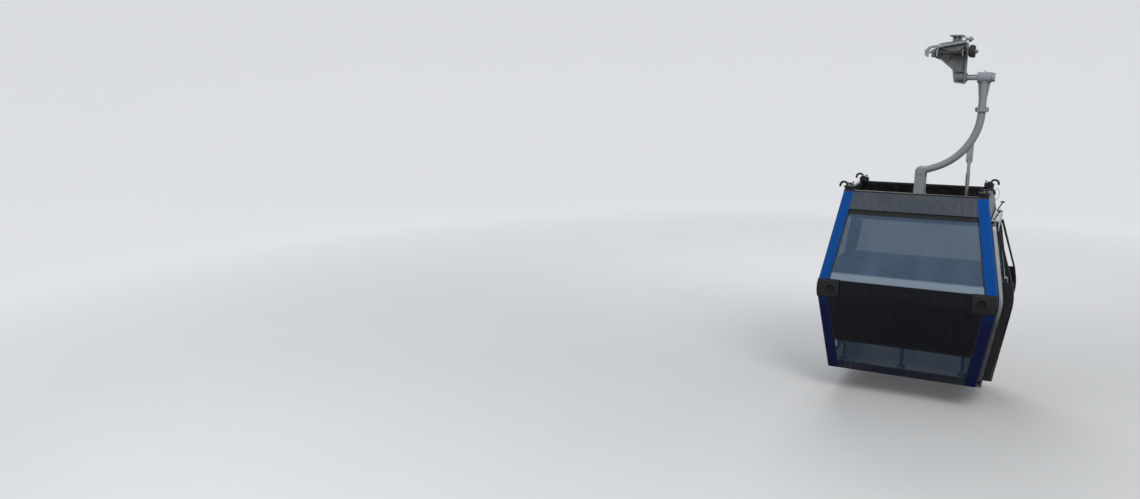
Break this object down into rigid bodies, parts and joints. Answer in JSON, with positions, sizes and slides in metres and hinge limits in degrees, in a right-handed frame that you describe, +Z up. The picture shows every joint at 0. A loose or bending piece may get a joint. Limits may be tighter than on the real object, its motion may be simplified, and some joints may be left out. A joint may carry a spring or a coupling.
{
  "type": "cable car cabin",
  "caption": "Closed passenger cabin with leaning glazed sides, twin sliding doors, ski racks and facing benches, on a bent hanger arm below a detachable rope grip.",
  "frame": {"origin": "centre of the rope in the grip's jaws, halfway along them", "axes": "+X along the rope, -Y towards the doors and the hanger arm, +Z up"},
  "size_m": [1.9738, 2.4462, 4.595],
  "materials": {
    "blue_paint": "gloss",
    "grey_paint": "satin",
    "leaf_silver": "satin",
    "black_plastic": "matte",
    "tray_black": "satin",
    "ceiling_white": "matte",
    "tinted_glass": "gloss",
    "dark_frame": "satin",
    "floor_aluminium": "brushed",
    "bumper_rubber": "matte",
    "rack_black": "matte",
    "seat_shell": "matte",
    "hanger_grey": "satin",
    "rod_steel": "brushed",
    "grip_casting": "satin",
    "spring_steel": "satin",
    "plate_steel": "brushed",
    "wheel_tread": "matte"
  },
  "bodies": {
    "grip": {"grip_housing": "grip_casting", "fixed_jaw": "grip_casting", "moving_jaw": "rod_steel", "grip_springs": "spring_steel", "coupling_lever": "rod_steel", "drive_plate": "plate_steel", "pivot_shaft": "rod_steel"},
    "carrier": {"hanger_head": "hanger_grey", "hanger_arm": "hanger_grey", "arm_flange": "hanger_grey", "hanger_column": "hanger_grey", "crosshead": "hanger_grey", "rubber_mounts": "bumper_rubber", "steady_rod": "rod_steel", "roof_tray": "tray_black", "roof_fascia": "grey_paint", "gap_band": "black_plastic", "header_rails": "tray_black", "roof_guides": "black_plastic", "ceiling": "ceiling_white", "corner_posts": "blue_paint", "end_panes": "tinted_glass", "far_pane": "tinted_glass", "far_mullion": "leaf_silver", "quarter_panes": "tinted_glass", "door_jambs": "leaf_silver", "sill_rails": "dark_frame", "floor_pan": "floor_aluminium", "waist_bumpers": "bumper_rubber", "door_beam": "grey_paint", "door_track": "floor_aluminium", "door_actuator": "black_plastic", "bench_seats": "seat_shell", "bench_backs": "seat_shell", "bench_legs": "dark_frame"},
    "right_leaf": {"right_leaf_frame": "leaf_silver", "right_leaf_glass": "tinted_glass", "right_leaf_rail": "leaf_silver", "right_ski_rack": "rack_black"},
    "left_leaf": {"left_leaf_frame": "leaf_silver", "left_leaf_glass": "tinted_glass", "left_leaf_rail": "leaf_silver", "left_ski_rack": "rack_black"},
    "wheel_front": {"running_wheel_front": "wheel_tread"},
    "wheel_rear": {"running_wheel_rear": "wheel_tread"}
  },
  "joints": [
    {"name": "carrier_swing", "type": "hinge", "parent": "grip", "child": "carrier", "pos_m": [0, -0.7, -0.3], "axis": [0, 1, 0], "range_deg": [-35, 35]},
    {"name": "right_leaf_slide", "type": "slide", "parent": "carrier", "child": "right_leaf", "axis": [1, 0, 0], "range_m": [0, 0.4]},
    {"name": "left_leaf_slide", "type": "slide", "parent": "carrier", "child": "left_leaf", "axis": [-1, 0, 0], "range_m": [0, 0.4]},
    {"name": "front_wheel_spin", "type": "hinge", "parent": "grip", "child": "wheel_front", "pos_m": [0.13, -0.52, 0.04], "axis": [0, 1, 0], "continuous": true},
    {"name": "rear_wheel_spin", "type": "hinge", "parent": "grip", "child": "wheel_rear", "pos_m": [-0.13, -0.52, 0.04], "axis": [0, 1, 0], "continuous": true}
  ],
  "couplings": [
    {"joint": "left_leaf_slide", "follows": "right_leaf_slide", "ratio": 1}
  ]
}
